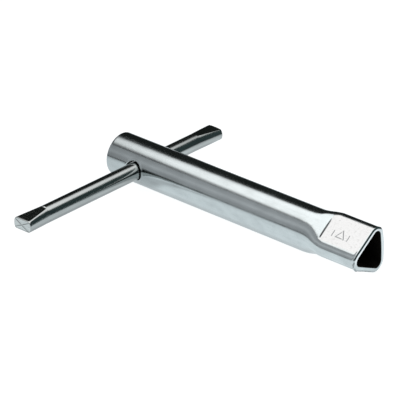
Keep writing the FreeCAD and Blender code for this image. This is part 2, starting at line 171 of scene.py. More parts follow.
# ------------------------------------------------------------------ tube sections
# Every section is three bowed faces joined by three corner arcs. Its three schedules run over
# the distance behind the mouth: (distance, corner reach), and (distance, face distance, joint angle).
REACH = [(13.9, 8.722), (16.4, 8.430), (18.4, 8.040), (20.2, 7.725), (22.0, 7.550), (24.6, 7.5005)]
PLAIN = [(15.4, 6.180, 59.6), (16.6, 6.230, 54.0), (18.6, 6.540, 44.0), (20.6, 7.010, 36.0),
         (22.4, 7.370, 30.0), (24.6, 7.4995, 27.0)]
FRONT = [(15.4, 6.480, 51.5), (16.7, 6.720, 44.0), (18.0, 7.040, 36.0), (19.6, 7.310, 31.5),
         (21.8, 7.460, 28.0), (24.6, 7.4995, 27.0)]
RIGHT = [(15.4, 6.620, 50.0), (16.6, 6.660, 47.0), (18.6, 6.860, 41.0), (20.6, 7.160, 34.5),
         (22.4, 7.410, 29.5), (24.6, 7.4995, 27.0)]
ROUND_FROM = 24.6
CREASE_X = -15.7                # rear edge of the marked flat


def arcs(local, flat, reach, theta):
    """Polar radius at an angle of local degrees from the nearest corner."""
    th = RAD(min(theta, 59.6))
    s60 = math.sin(RAD(60))
    k = s60 / math.sin(th)
    q = (s60 / math.tan(th) - 0.5) / (k - 1)
    r = (reach - flat * q) / (1 - q)
    c = (flat - r) / (k - 1)
    m = c * (s60 / math.tan(th) - 0.5)
    a = np.radians(local)
    joint = math.atan2(r * math.sin(th), m + r * math.cos(th))
    corner = m * np.cos(a) + np.sqrt(np.maximum(r * r - (m * np.sin(a)) ** 2, 0))
    b = np.radians(60) - a
    big = flat + c
    face = -c * np.cos(b) + np.sqrt(np.maximum(big * big - (c * np.sin(b)) ** 2, 0))
    return np.where(a < joint, corner, face)


def schedule(table, d):
    cols = list(zip(*table))
    return [hermite(cols[0], col, d) for col in cols[1:]]


def from_corner(angle):
    return np.abs((np.asarray(angle, float) - CLOCK) % 120 - 60)


def on_front(angle):
    """Degrees from the front face's middle, for the angles that belong to it."""
    rel = (np.asarray(angle, float) - (CLOCK + 120) + 180) % 360 - 180
    return rel, np.abs(rel) <= 60


def on_right(angle):
    return np.abs((np.asarray(angle, float) - CLOCK + 180) % 360 - 180) <= 60


def section(x, angle):
    """Outer polar radius of the tube at x, millimetres (x is 0 at the mouth and negative behind it)."""
    d = -x
    if d >= ROUND_FROM:
        return np.full(np.shape(angle), R_OUT)
    local = from_corner(angle)
    reach, = schedule(REACH, d)
    plain = arcs(local, schedule(PLAIN, d)[0], reach, schedule(PLAIN, d)[1])
    flat, theta = schedule(RIGHT, d)
    plain = np.where(on_right(angle), arcs(local, flat, reach, theta), plain)
    flat, theta = schedule(FRONT, d)
    ramp_face = arcs(local, flat, reach, theta)
    rel, front = on_front(angle)
    across = np.abs(plain * np.sin(np.radians(rel)))
    # the flat starts in a crisp step in the middle and in a gentle run-out near the two corners
    near = smooth(3.4, 5.2, across)
    start = CREASE_X - 0.07 - 0.9 * near
    stop = CREASE_X + 0.07 + 1.3 * near
    t = np.clip((x - start) / (stop - start), 0, 1)
    w = t * t * (3 - 2 * t)
    return np.where(front, plain * w + ramp_face * (1 - w), plain)


def section_in(x, angle):
    """Inner polar radius."""
    d = -x
    if d >= ROUND_FROM:
        return np.full(np.shape(angle), R_IN)
    reach, = schedule(REACH, d)
    flat, theta = schedule(PLAIN, d)
    inner_reach = reach - 1.5 + 0.19 * float(smooth(21, 14.7, d))
    local = from_corner(angle)
    plain = arcs(local, flat - 1.52, inner_reach, theta)
    flat, _ = schedule(RIGHT, d)
    full = float(smooth(23.0, 15.4, d))
    right = arcs(local, flat - 1.52 - 0.05 * full, inner_reach, theta - 3.6 * full)
    return np.where(on_right(angle), right, plain)


def ring(radius, angle, x):
    a = np.radians(angle)
    radius = np.broadcast_to(radius, np.shape(angle))
    return np.stack([np.full(np.shape(angle), float(x)), radius * np.cos(a), radius * np.sin(a)], -1)


def pad_drop(x, angle, radius):
    """How far the marked flat lies below its plain section, millimetres, and its surface marks, with painted shade
    along the step's foot.
    """
    rel, front = on_front(angle)
    across = radius * np.sin(np.radians(rel))            # distance from the flat's middle line
    # the foot of the step bites in a little, more towards the flat's lower edge
    u = x - CREASE_X
    bite = smooth(4.3, 3.2, np.abs(across)) * front
    foot = (0.10 + 0.028 * across) * np.clip(1 - abs(u - 0.10) / 0.24, 0, 1)
    # painted shade: a near-black line in the crease at the foot of the step, where shade falls
    line = bite * np.clip(0.75 + 0.10 * across, 0, 1) * np.clip(1 - abs(u - 0.04) / 0.26, 0, 1) ** 0.7
    pad = front * smooth(4.8, 4.2, across) * smooth(-6.4, -5.4, across) * float(smooth(-0.05, 0.25, u)) * float(smooth(-0.3, -0.9, x))
    # generic mark: an outlined triangle between two bars
    cx, ct = -9.4, 0.8
    mx, mt = x - cx, across - ct
    stroke = 0.20
    best = np.full(np.shape(angle), -9.0)
    for a in (90, 210, 330):
        best = np.maximum(best, mx * math.cos(RAD(a)) + mt * math.sin(RAD(a)))
    depth = np.clip(1 - np.abs(best - 0.95) / stroke, 0, 1)
    for off in (-3.0, 3.0):
        gap = np.maximum(np.abs(mx - off), np.abs(mt) - 1.15 + stroke)
        depth = np.maximum(depth, np.clip(1 - np.maximum(gap, 0) / stroke, 0, 1))
    mark = depth * front
    return bite * foot + 0.10 * mark, {"mark": mark, "line": line, "pad": pad}


def patch_ring(radius_cyl, side):
    """Boundary of a hole's square patch in the (x, z) plane, counter-clockwise from the low corner."""
    w = radius_cyl * math.sin(RAD(HALF * 1.5))
    lin = np.linspace(-w, w, 2 * HALF + 1)
    zz = radius_cyl * np.sin(np.radians(np.arange(-HALF, HALF + 1) * 1.5))
    pts = []
    for x in lin[:-1]:
        pts.append((x, -w))
    for z in zz[:-1]:
        pts.append((w, z))
    for x in lin[::-1][:-1]:
        pts.append((x, w))
    for z in zz[::-1][:-1]:
        pts.append((-w, z))
    return np.array(pts), w, lin


def skin(net, radius_cyl, rows, closed_rows, radius_at, holes, depth_marks, flip):
    """One skin of the tube: full rings, with a square patch left out round each cross-hole.

    Returns the index grid.
    """
    angle = np.arange(COLS) * 1.5
    grid = []
    for x in rows:
        radius, marks = radius_at(x, angle)
        grid.append(net.points(ring(radius, angle, x), **marks))
    grid = np.array(grid)
    lo, hi = closed_rows
    for i in range(len(rows) - 1):
        a, b = grid[i], grid[i + 1]
        if lo <= i < hi:
            for j in range(COLS):
                rel0 = (j + HALF) % 120
                if rel0 < 2 * HALF:
                    continue
                k = (j + 1) % COLS
                quad = (a[j], a[k], b[k], b[j])
                net.faces.append(quad[::-1] if flip else quad)
        else:
            net.strip(a, b, closed=True, flip=flip)
    return grid


def build_tube():
    net = Net()
    angle = np.arange(COLS) * 1.5
    border, w_out, lin_out = patch_ring(R_OUT, 1)
    border_in, w_in, lin_in = patch_ring(R_IN, 1)

    rng = np.random.default_rng(7)
    phase = rng.uniform(0, 2 * math.pi, 12)

    def wave(x, a):
        """Drawn-tube waviness, a few microns."""
        a = np.radians(a)
        out = 0.0
        for n, (kx, ka, amp) in enumerate([(0.11, 2, 4.0), (0.23, 3, 2.6), (0.06, 5, 2.0), (0.37, 4, 1.4), (0.7, 7, 0.7)]):
            out = out + amp * np.sin(kx * x + ka * a + phase[n]) * np.cos(0.6 * kx * x - ka * a + phase[n + 5])
        return 0.001 * out * 0.9

    def outer(x, a):
        radius = section(x, a)
        drop, marks = 0.0, {}
        if x > -20.0:
            drop, marks = pad_drop(x, a, radius)
        fade = float(smooth(-0.2, -2.0, x))
        # sawing burr turned over the rim, mostly at the corner on the -Y side
        side = np.abs((a - 190 + 180) % 360 - 180)
        burr = (0.42 * np.exp(-(side / 24.0) ** 2) * (1 + 0.35 * np.sin(np.radians(a) * 23 + 1.0))
                + 0.22 * smooth(62, 46, np.abs((a - CLOCK + 180) % 360 - 180)))
        lip = burr * math.exp(-((min(x + 0.52, 0.0)) / 0.34) ** 2)
        return radius - drop + wave(x, a) * fade + lip, marks

    # ---- outer rows, rear to mouth
    edge = 0.30
    rows = list(np.linspace(-LENGTH + edge, HOLE_X - w_out, 14)[:-1])
    lo = len(rows)
    rows += list(HOLE_X + lin_out)
    hi = len(rows) - 1
    rows += list(np.linspace(HOLE_X + w_out, -25.0, 52)[1:-1])
    rows += list(np.linspace(-25.0, -16.6, 34)[:-1])
    rows += list(np.linspace(-16.6, -15.9, 7)[:-1])
    rows += list(np.linspace(-15.9, -15.3, 17)[:-1])
    rows += list(np.linspace(-15.3, -14.2, 9)[:-1])
    rows += list(np.linspace(-14.2, -12.9, 8)[:-1])
    rows += list(np.linspace(-12.9, -5.9, 46)[:-1])
    rows += list(np.linspace(-5.9, -1.3, 20)[:-1])
    rows += list(np.linspace(-1.3, -0.38, 10))
    grid_out = skin(net, R_OUT, rows, (lo, hi), outer, True, None, False)

    # ---- rear rim: rounded outer edge, flat ring, rounded inner edge
    rim = []
    for t in (0.25, 0.5, 0.75, 1.0):
        a = t * math.pi / 2
        rim.append((-LENGTH + edge * (1 - math.sin(a)), R_OUT - edge * (1 - math.cos(a))))
    for r in np.linspace(R_OUT - edge, R_IN + edge, 5)[1:]:
        rim.append((-LENGTH, r))
    for t in (0.25, 0.5, 0.75, 1.0):
        a = t * math.pi / 2
        rim.append((-LENGTH + edge * (1 - math.cos(a)), R_IN + edge * (1 - math.sin(a))))
    prev = grid_out[0]
    for n, (x, r) in enumerate(rim):
        inside = 1.0 if n == len(rim) - 1 else 0.0
        cur = net.points(ring(r, angle, x), edge=1.0 if n < len(rim) - 1 else 0.3, inside=0.0)
        net.strip(cur, prev, closed=True)
        prev = cur
    rear_in = prev

    # ---- mouth: turned bevel on the outer edge, flat face, small round on the inner edge
    sec = outer(-0.38, angle)[0]
    sec_in = section_in(0.0, angle)
    outer_line = ring(sec, angle, 0.0)
    inner_line = ring(sec_in, angle, 0.0)

    def inward(line):
        nxt, prv = np.roll(line, -1, 0), np.roll(line, 1, 0)
        tangent = nxt - prv
        normal = np.stack([np.zeros(len(line)), tangent[:, 2], -tangent[:, 1]], -1)
        normal /= np.linalg.norm(normal, axis=1)[:, None]
        return -normal                                   # towards the axis

    n_out, n_in = inward(outer_line), inward(inner_line)
    prev = grid_out[-1]
    bevel = [(0.335, 0.012), (0.31, 0.045), (0.27, 0.10), (0.20, 0.21), (0.13, 0.325), (0.08, 0.415),
             (0.045, 0.48), (0.018, 0.54), (0.0, 0.60)]
    # painted shade in the bevel's crevice, at the root of the burr, mostly at the corner on the -Y side and along the
    # bottom
    crevice_shade = smooth(75, 45, np.abs((angle - 215 + 180) % 360 - 180))
    crevice_shade = crevice_shade * np.clip(0.55 + 0.55 * np.sin(np.radians(angle) * 31 + 0.4) * np.sin(np.radians(angle) * 13 + 2.0), 0, 1)
    for n, (back, depth) in enumerate(bevel):
        line = outer_line + n_out * depth
        line[:, 0] = -back
        cur = net.points(line, edge=0.0, line=0.75 * crevice_shade * (0 < n < 6))
        net.strip(prev, cur, closed=True)
        prev = cur
    e = bevel[-1][1]
    e_in = 0.16
    start = outer_line + n_out * e
    stop = inner_line - n_in * e_in
    from_slant = np.abs((angle - (CLOCK + 120) + 180) % 360 - 180)
    from_right = np.abs((angle - CLOCK + 180) % 360 - 180)
    # painted highlight on the mouth's face: near-white on the slanted face and fainter on the right-hand face, the
    # faces that catch the light
    painted_highlight = 0.75 * smooth(66, 50, from_slant) + 0.30 * smooth(66, 50, from_right)
    for t in np.linspace(0, 1, 7)[1:]:
        cur = net.points(start * (1 - t) + stop * t, edge=0.3, bright=painted_highlight)
        net.strip(prev, cur, closed=True)
        prev = cur
    for t in (0.33, 0.66, 1.0):
        a = t * math.pi / 2
        line = inner_line - n_in * (e_in * (1 - math.sin(a)))
        line[:, 0] = -e_in * (1 - math.cos(a))
        cur = net.points(line, edge=0.6 * (1 - t), inside=t)
        net.strip(prev, cur, closed=True)
        prev = cur
    mouth_in = prev

    # ---- inner skin, mouth to rear
    rows_in = list(np.linspace(-0.6, -14.7, 8))
    rows_in += list(np.linspace(-14.7, -25.0, 15)[1:])
    rows_in += list(np.linspace(-25.0, HOLE_X + w_in, 16)[1:-1])
    lo_in = len(rows_in)
    rows_in += list(HOLE_X + lin_in[::-1])
    hi_in = len(rows_in) - 1
    rows_in += list(np.linspace(HOLE_X - w_in, -LENGTH + edge, 14)[1:-1])

    def inner(x, a):
        return section_in(x, a), {"inside": 1.0}

    grid_in = skin(net, R_IN, rows_in, (lo_in, hi_in), inner, True, None, False)
    net.strip(mouth_in, grid_in[0], closed=True)
    net.strip(grid_in[-1], rear_in, closed=True)

    # ---- the two cross-holes
    count = len(border)
    for side in (1, -1):
        mid_col = 0 if side > 0 else 120
        # direction of z with growing column: +z on the +Y side, -z on the -Y side
        def border_index(grid, lo_row, hi_row, rows_rising):
            out = []
            rows_up = list(range(lo_row, hi_row + 1))
            if not rows_rising:
                rows_up = rows_up[::-1]
            cols = [(mid_col + side * k) % COLS for k in range(-HALF, HALF + 1)]
            for i in rows_up[:-1]:
                out.append(grid[i][cols[0]])
            for c in cols[:-1]:
                out.append(grid[rows_up[-1]][c])
            for i in rows_up[::-1][:-1]:
                out.append(grid[i][cols[-1]])
            for c in cols[::-1][:-1]:
                out.append(grid[rows_up[0]][c])
            return out

        out_idx = border_index(grid_out, lo, hi, True)
        in_idx = border_index(grid_in, lo_in, hi_in, False)

        def loops(border_pts, cyl, first_idx, steps, lift, rim_r, marks):
            """Rings from the patch's border inwards to the hole's rim."""
            phi = np.arctan2(border_pts[:, 1], border_pts[:, 0])
            hole = np.stack([np.cos(phi), np.sin(phi)], -1) * rim_r
            prev_idx = first_idx
            rings = []
            for s in steps:
                p = hole + (border_pts - hole) * s
                dist = np.hypot(p[:, 0], p[:, 1]) - HOLE_R
                y = np.sqrt(cyl * cyl - p[:, 1] ** 2)
                bump = lift(dist, phi)
                nx = p[:, 1] / cyl
                ny = y / cyl
                pts = np.stack([HOLE_X + p[:, 0], side * (y + bump * ny), p[:, 1] + bump * nx], -1)
                cur = net.points(pts, **{k: v(dist) for k, v in marks.items()})
                rings.append((prev_idx, cur))
                prev_idx = cur
            return rings, prev_idx, phi

        def burr(dist, phi):
            """Metal pushed up round the rim, highest 0.35 mm from the edge."""
            return 0.065 * np.exp(-((dist - 0.42) / 0.26) ** 2) * (1 + 0.25 * np.sin(3 * phi + 0.6))

        steps = list((np.linspace(1, 0, 15)[1:]) ** 1.35)
        rings, rim_idx, phi = loops(
            border, R_OUT, out_idx, steps, burr, HOLE_R + 0.20,
            {"edge": lambda d: np.clip(1 - (d - 0.20) / 0.45, 0, 1) * 0.8})
        for a, b in rings:
            net.strip(a, b, closed=True, flip=side > 0)
        # rounded edge into the hole
        prev_idx = rim_idx
        er = 0.20
        base_y = np.sqrt(R_OUT ** 2 - ((HOLE_R + er) * np.sin(phi)) ** 2)
        lift0 = burr(np.full(count, er), phi)
        base_y = base_y + lift0 * base_y / R_OUT
        for t in (0.2, 0.4, 0.6, 0.8, 1.0):
            a = t * math.pi / 2
            rr = HOLE_R + er * (1 - math.sin(a))
            y = base_y - er * (1 - math.cos(a))
            pts = np.stack([HOLE_X + rr * np.cos(phi), side * y, rr * np.sin(phi)], -1)
            cur = net.points(pts, edge=0.9 * (1 - t * 0.7), inside=0.35 * t)
            net.strip(prev_idx, cur, closed=True, flip=side > 0)
            prev_idx = cur
        wall_top = base_y - er
        phi_in = np.arctan2(border_in[:, 1], border_in[:, 0])
        wall_bottom = np.sqrt(R_IN ** 2 - (HOLE_R * np.sin(phi_in)) ** 2)
        for t in np.linspace(0, 1, 6)[1:-1]:
            ang = phi * (1 - t) + phi_in * t
            y = wall_top * (1 - t) + wall_bottom * t
            pts = np.stack([HOLE_X + HOLE_R * np.cos(ang), side * y, HOLE_R * np.sin(ang)], -1)
            cur = net.points(pts, inside=0.35 + 0.65 * t)
            net.strip(prev_idx, cur, closed=True, flip=side > 0)
            prev_idx = cur
        rings, in_rim, _ = loops(border_in, R_IN, in_idx, [0.75, 0.5, 0.25, 0.0],
                                 lambda d, p: 0.0 * d, HOLE_R, {"inside": lambda d: np.ones_like(d)})
        for a, b in rings:
            net.strip(a, b, closed=True, flip=side < 0)
        net.strip(prev_idx, in_rim, closed=True, flip=side > 0)

    obj = net.object("tube_shell")
    return obj


# ------------------------------------------------------------------ tommy bar
NEAR_FLAT, FAR_FLAT = 9.8, 10.9       # lengths of the pressed ends


def build_bar():
    net = Net()
    top_n, side_n = 24, 44
    near_start, far_start = -(BAR_NEAR - NEAR_FLAT), BAR_FAR - FAR_FLAT

    def outline(y):
        """Section of the bar at y: (x, z) points, counter-clockwise from the +X end of the upper flat."""
        u = max((near_start - y) / NEAR_FLAT, (y - far_start) / FAR_FLAT)
        if u <= 0:
            a = b = BAR_R
            h = 2.76
        else:
            a = BAR_R + 0.64 * u
            b = BAR_R - 0.07 * u
            h = 2.72 + (1.92 - 2.72) * u ** 1.05

        def half(wide, n):
            t0 = math.asin(min((h / b) ** (n / 2), 1))
            return wide, n, t0, wide * math.cos(t0) ** (2 / n)

        def side(part, t):
            wide, n = part[:2]
            c, q = math.cos(t), math.sin(t)
            return (math.copysign(wide * abs(c) ** (2 / n), c), math.copysign(b * abs(q) ** (2 / n), q))

        # the near end is pressed a little squarer on its left side
        right = left = half(a, 2.0)
        if y < near_start:
            left = half(a + 0.12 * u ** 4, 2.0 + 0.50 * u ** 1.5)
        t0 = right[2]
        pts = []
        for s in np.linspace(1, -1, top_n + 1)[:-1]:
            if u > 0:
                pts.append(((right if s > 0 else left)[3] * s, h))
            else:
                t = math.pi / 2 - (math.pi / 2 - t0) * s
                pts.append((a * math.cos(t), b * math.sin(t)))
        for s in np.linspace(0, 1, side_n + 1)[:-1]:
            pts.append(side(left, math.pi - left[2] + 2 * left[2] * s))
        for s in np.linspace(-1, 1, top_n + 1)[:-1]:
            if u > 0:
                pts.append(((right if s > 0 else left)[3] * s, -h))
            else:
                t = 1.5 * math.pi + (math.pi / 2 - t0) * s
                pts.append((a * math.cos(t), b * math.sin(t)))
        for s in np.linspace(0, 1, side_n + 1)[:-1]:
            pts.append(side(right, -t0 + 2 * t0 * s))
        return np.array(pts)

    def soften(pts, rounds):
        """Rounds the flats' long edges over a point or two each side."""
        out = pts.copy()
        n = len(pts)
        corners = (0, top_n, top_n + side_n, 2 * top_n + side_n)
        for _ in range(rounds):
            cur = out.copy()
            for c in corners:
                for k in (-1, 0, 1):
                    i = (c + k) % n
                    out[i] = 0.25 * cur[(i - 1) % n] + 0.5 * cur[i] + 0.25 * cur[(i + 1) % n]
        return out

    def dome(pts, sign):
        """How far the end face falls back: it bulges a little and is cropped a little out of square."""
        u = pts[:, 0] / 3.76
        if sign < 0:
            return 0.10 * u * u + 0.07 * (u + 1) - 0.040
        return 0.50 * np.abs(u) ** 2.4 + 0.12 * u + 0.10 * (pts[:, 1] / 1.92) ** 2

    ys = list(-BAR_NEAR + 0.90 + (NEAR_FLAT - 0.90 - 0.05) * np.linspace(0, 1, 44))
    ys += [near_start - 0.01, near_start + 0.24, near_start + 0.27, near_start + 0.35]
    ys += list(np.linspace(near_start + 0.6, far_start - 0.6, 150))
    ys += [far_start - 0.35, far_start - 0.27, far_start - 0.24, far_start + 0.01]
    ys += list(BAR_FAR - 1.20 - (FAR_FLAT - 1.20 - 0.05) * np.linspace(0, 1, 44)[::-1])
    rings = []
    for y in ys:
        pts = outline(y)
        pressed = y < near_start or y > far_start
        if pressed:
            near_end = max(0.0, 1 - min(y + BAR_NEAR, BAR_FAR - y) / 4.0)
            pts = soften(pts, 2 + int(round(2 * near_end)))
        co = np.stack([HOLE_X + pts[:, 0], np.full(len(pts), y), pts[:, 1] - BAR_DROP], -1)
        # the press leaves a thin witness line round the underside, where the near flat begins
        witness = 1.5 * smooth(-0.2, -1.4, pts[:, 1]) if 0.2 < y - near_start < 0.3 else 0.0
        rings.append(net.points(co, pressed=1.0 if pressed else 0.0, mark=witness))
    net.grid(np.array(rings), closed=True, flip=False)

    def end(y_face, sign, first):
        """Rounded edge, then the cropped face with its shallow cross."""
        pts = soften(outline(y_face), 4)
        prev = first
        e = 0.14 if sign < 0 else 0.20
        scale_x, scale_z = pts[:, 0].max(), pts[:, 1].max()
        for t in (0.3, 0.55, 0.8, 1.0):
            a = t * math.pi / 2
            k = e * (1 - math.cos(a))
            shrink = np.stack([pts[:, 0] * (1 - k / scale_x), pts[:, 1] * (1 - k / scale_z)], -1)
            y = y_face - sign * (e * (1 - math.sin(a)) + dome(shrink, sign))
            co = np.stack([HOLE_X + shrink[:, 0], y, shrink[:, 1] - BAR_DROP], -1)
            cur = net.points(co, edge=0.6)
            net.strip(prev, cur, closed=True, flip=sign < 0)
            prev = cur
        inner = shrink
        for s in np.linspace(1, 0, 29)[1:]:
            p = inner * s
            # two shallow grooves along the face's diagonals, and four faintly hollow facets
            dx, dz = p[:, 0] / scale_x, p[:, 1] / scale_z
            off = dx + (0.16 if sign < 0 else 0.0)
            g1 = np.abs(off * 1.02 + dz)
            g2 = np.abs(off * 0.95 - dz)
            groove = np.maximum(np.clip(1 - g1 / 0.17, 0, 1), np.clip(1 - g2 / 0.17, 0, 1))
            fade = np.clip((1.0 - np.maximum(np.abs(dx), np.abs(dz))) / 0.10, 0, 1)
            facet = 0.10 * np.sin(np.clip(np.minimum(g1, g2) / 0.9, 0, 1) * math.pi)
            depth = (0.16 * groove + facet) * fade
            co = np.stack([HOLE_X + p[:, 0], y_face - sign * (depth + dome(p, sign)), p[:, 1] - BAR_DROP], -1)
            if s > 1e-6:
                cur = net.points(co, crop=1.0, mark=0.62 * groove * fade)
                net.strip(prev, cur, closed=True, flip=sign < 0)
                prev = cur
            else:
                centre = net.points(co[:1], crop=1.0, mark=0.62)
                n = len(prev)
                for i in range(n):
                    tri = (prev[i], prev[(i + 1) % n], centre[0])
                    net.faces.append(tri[::-1] if sign < 0 else tri)

    end(-BAR_NEAR, -1, rings[0])
    end(BAR_FAR, 1, rings[-1])
    net.faces = [f[::-1] for f in net.faces]             # outward
    return net.object("bar_rod")


# ------------------------------------------------------------------ materials
def node(tree, kind, **settings):
    n = tree.nodes.new(kind)
    for key, value in settings.items():
        if key.startswith("in_"):
            n.inputs[key[3:].replace("_", " ")].default_value = value
        else:
            setattr(n, key, value)
    return n


def ramp(tree, stops, source, interpolation="LINEAR"):
    n = tree.nodes.new("ShaderNodeValToRGB")
    n.color_ramp.interpolation = interpolation
    elements = n.color_ramp.elements
    while len(elements) > 1:
        elements.remove(elements[-1])
    first = True
    for place, value in stops:
        colour = value if isinstance(value, (tuple, list)) else (value, value, value)
        if first:
            elements[0].position = place
            elements[0].color = (*colour[:3], 1)
            first = False
        else:
            e = elements.new(place)
            e.color = (*colour[:3], 1)
    tree.links.new(source, n.inputs["Fac"])
    return n


def math_node(tree, op, a, b=None, clamp=False):
    n = tree.nodes.new("ShaderNodeMath")
    n.operation = op
    n.use_clamp = clamp
    for i, v in enumerate((a, b)):
        if v is None:
            continue
        if isinstance(v, (int, float)):
            n.inputs[i].default_value = v
        else:
            tree.links.new(v, n.inputs[i])
    return n.outputs[0]


def mix_colour(tree, fac, a, b, blend="MIX"):
    n = tree.nodes.new("ShaderNodeMix")
    n.data_type = "RGBA"
    n.blend_type = blend
    for socket, v in ((n.inputs[0], fac), (n.inputs[6], a), (n.inputs[7], b)):
        if isinstance(v, (int, float)):
            socket.default_value = v
        elif isinstance(v, (tuple, list)):
            socket.default_value = (*v[:3], 1)
        else:
            tree.links.new(v, socket)
    return n.outputs[2]


def steel(name, axis, base, rough, streak=1.0, seed=0.0, along=None):
    """Bright zinc-plated drawn steel: long faint streaks, soft mottling, small specks, worn edges, a dark bore, and
    painted light: a highlight on the mouth's face, shade in creases and a brightness gradient along the piece.
    """
    mat = bpy.data.materials.new(name)
    mat.use_nodes = True
    tree = mat.node_tree
    tree.nodes.clear()
    link = tree.links.new
    out = tree.nodes.new("ShaderNodeOutputMaterial")
    bsdf = tree.nodes.new("ShaderNodeBsdfPrincipled")
    link(bsdf.outputs[0], out.inputs[0])
    bsdf.inputs["Metallic"].default_value = 1.0
    coord = tree.nodes.new("ShaderNodeTexCoord").outputs["Object"]

    def stretched(along, across):
        m = tree.nodes.new("ShaderNodeMapping")
        scale = [across, across, across]
        scale[axis] = along
        m.inputs["Scale"].default_value = scale
        m.inputs["Location"].default_value = (seed, seed * 0.7, seed * 1.3)
        link(coord, m.inputs["Vector"])
        return m.outputs[0]

    def noise(vector, scale, detail=3.0, roughness=0.5):
        n = tree.nodes.new("ShaderNodeTexNoise")
        n.inputs["Scale"].default_value = scale
        n.inputs["Detail"].default_value = detail
        n.inputs["Roughness"].default_value = roughness
        link(vector, n.inputs["Vector"])
        return n.outputs["Fac"]

    streaks = noise(stretched(35, 1500), 1.0, 4.0, 0.6)
    fine = noise(stretched(120, 5200), 1.0, 2.0, 0.5)
    cloud = noise(stretched(140, 260), 1.0, 4.0, 0.55)
    grain = noise(stretched(2600, 3400), 1.0, 3.0, 0.6)
    pits = noise(stretched(1000, 1900), 1.0, 3.0, 0.6)
    specks = tree.nodes.new("ShaderNodeTexVoronoi")
    specks.feature = "F1"
    specks.inputs["Scale"].default_value = 1.0
    link(stretched(420, 620), specks.inputs["Vector"])
    speck = ramp(tree, [(0.0, 1.0), (0.055, 0.0)], specks.outputs["Distance"]).outputs[0]

    def attribute(label):
        a = tree.nodes.new("ShaderNodeAttribute")
        a.attribute_name = label
        return a.outputs["Fac"]

    edge, inside, mark = attribute("edge"), attribute("inside"), attribute("mark")
    crop, bright, pad = attribute("crop"), attribute("bright"), attribute("pad")
    line, pressed = attribute("line"), attribute("pressed")

    # colour
    if along:
        base = tuple(c * max(f for _, f in along) for c in base)
    dark = tuple(c * 0.90 for c in base)
    light = tuple(min(c * 1.07, 1) for c in base)
    tone = ramp(tree, [(0.30, dark), (0.50, base), (0.72, light)], cloud).outputs[0]
    if along:
        # painted light and shade: the colour brightens towards one end, from (position, factor) pairs over the piece's
        # length, in metres
        part = tree.nodes.new("ShaderNodeSeparateXYZ")
        link(coord, part.inputs[0])
        low, high = along[0][0], along[-1][0]
        place = math_node(tree, "MULTIPLY", math_node(tree, "SUBTRACT", part.outputs[axis], low), 1 / (high - low), clamp=True)
        top = max(f for _, f in along)
        shade = ramp(tree, [((x - low) / (high - low), f / top) for x, f in along], place).outputs[0]
        tone = mix_colour(tree, 1.0, tone, shade, "MULTIPLY")
    tone = mix_colour(tree, math_node(tree, "MULTIPLY", ramp(tree, [(0.42, 0.0), (0.62, 1.0)], streaks).outputs[0], 0.10 * streak),
                      tone, tuple(c * 0.72 for c in base))
    tone = mix_colour(tree, math_node(tree, "MULTIPLY", speck, 0.35), tone, tuple(c * 0.45 for c in base))
    tone = mix_colour(tree, crop, tone, mix_colour(tree, grain, tuple(c * 1.15 for c in base), tuple(min(c * 1.75, 1) for c in base)))
    worn = mix_colour(tree, ramp(tree, [(0.54, 0.0), (0.70, 0.45), (0.82, 1.0)], pits).outputs[0], (0.552, 0.550, 0.545), (0.36, 0.355, 0.35))
    tone = mix_colour(tree, pad, tone, worn)
    tone = mix_colour(tree, math_node(tree, "MULTIPLY", mark, 0.55), tone, tuple(c * 0.42 for c in base))
    # painted shade: the line attribute paints the crease at the marked flat's step and the crevice in the mouth's bevel
    # nearly black
    tone = mix_colour(tree, math_node(tree, "MULTIPLY", line, 0.9), tone, (0.035, 0.035, 0.037))
    tone = mix_colour(tree, math_node(tree, "MULTIPLY", edge, 0.35), tone, tuple(min(c * 1.18, 1) for c in base))
    # painted highlight: the bright attribute paints the lit parts of the mouth's face near-white
    tone = mix_colour(tree, bright, tone, (0.90, 0.91, 0.915))
    bore = mix_colour(tree, grain, (0.012, 0.011, 0.010), (0.035, 0.031, 0.027))
    tone = mix_colour(tree, ramp(tree, [(0.15, 0.0), (0.75, 1.0)], inside).outputs[0], tone, bore)
    link(tone, bsdf.inputs["Base Color"])

    # roughness
    r = math_node(tree, "ADD", rough - 0.035, math_node(tree, "MULTIPLY", cloud, 0.07))
    r = math_node(tree, "ADD", r, math_node(tree, "MULTIPLY", ramp(tree, [(0.45, 0.0), (0.7, 1.0)], streaks).outputs[0], 0.05 * streak))
    r = math_node(tree, "ADD", r, math_node(tree, "MULTIPLY", edge, 0.06))
    r = math_node(tree, "ADD", r, math_node(tree, "MULTIPLY", inside, 0.45), clamp=True)
    link(r, bsdf.inputs["Roughness"])

    # bump: streaks, grain and specks, a few microns each
    height = math_node(tree, "MULTIPLY", streaks, 0.9 * streak)
    height = math_node(tree, "ADD", height, math_node(tree, "MULTIPLY", fine, 0.25 * streak))
    height = math_node(tree, "ADD", height, math_node(tree, "MULTIPLY", grain, 0.22))
    height = math_node(tree, "ADD", height, math_node(tree, "MULTIPLY", pits, 0.95 * streak))
    height = math_node(tree, "ADD", height, math_node(tree, "MULTIPLY", math_node(tree, "MULTIPLY", pits, pad), 0.8))
    height = math_node(tree, "ADD", height, math_node(tree, "MULTIPLY", cloud, 1.0))
    height = math_node(tree, "SUBTRACT", height, math_node(tree, "MULTIPLY", speck, 1.2))
    bump = tree.nodes.new("ShaderNodeBump")
    bump.inputs["Strength"].default_value = 1.0
    bump.inputs["Distance"].default_value = 0.0000075
    link(math_node(tree, "SUBTRACT", 1.0, math_node(tree, "MULTIPLY", pressed, 0.88)), bump.inputs["Strength"])
    link(height, bump.inputs["Height"])
    link(bump.outputs[0], bsdf.inputs["Normal"])
    return mat


